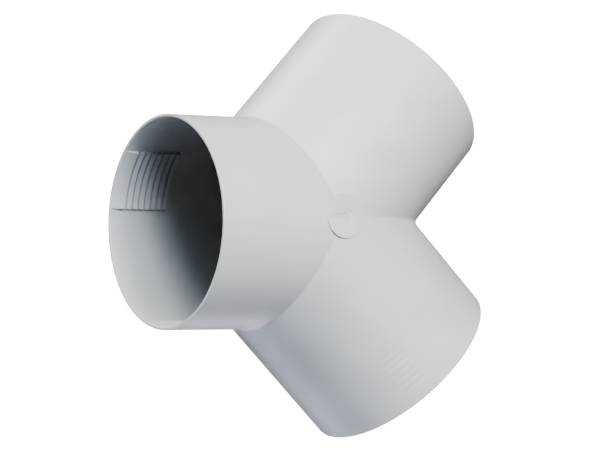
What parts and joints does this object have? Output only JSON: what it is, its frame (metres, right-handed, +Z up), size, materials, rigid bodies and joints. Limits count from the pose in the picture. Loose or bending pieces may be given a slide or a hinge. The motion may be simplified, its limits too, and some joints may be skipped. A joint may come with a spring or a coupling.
{
  "type": "three-way hose fitting",
  "caption": "Thin-walled plastic Y fitting: three equal sockets mitred together, with saw-tooth grip pads inside each mouth.",
  "frame": {"origin": "on the ground, at the middle of the fitting's outline seen from above", "axes": "+Z up, across the plane of the three legs; the inlet opens towards -X; +Y is to the left looking along +X, the side the left branch opens to"},
  "size_m": [0.1758, 0.2146, 0.1052],
  "materials": {
    "grey_plastic": "satin moulded light grey"
  },
  "bodies": {
    "root": {"inlet_socket": "grey_plastic", "inlet_grip_1": "grey_plastic", "inlet_grip_2": "grey_plastic", "inlet_grip_3": "grey_plastic", "left_branch_socket": "grey_plastic", "left_branch_grip_1": "grey_plastic", "left_branch_grip_2": "grey_plastic", "left_branch_grip_3": "grey_plastic", "right_branch_socket": "grey_plastic", "right_branch_grip_1": "grey_plastic", "right_branch_grip_2": "grey_plastic", "right_branch_grip_3": "grey_plastic", "centre_disc": "grey_plastic"}
  },
  "joints": []
}
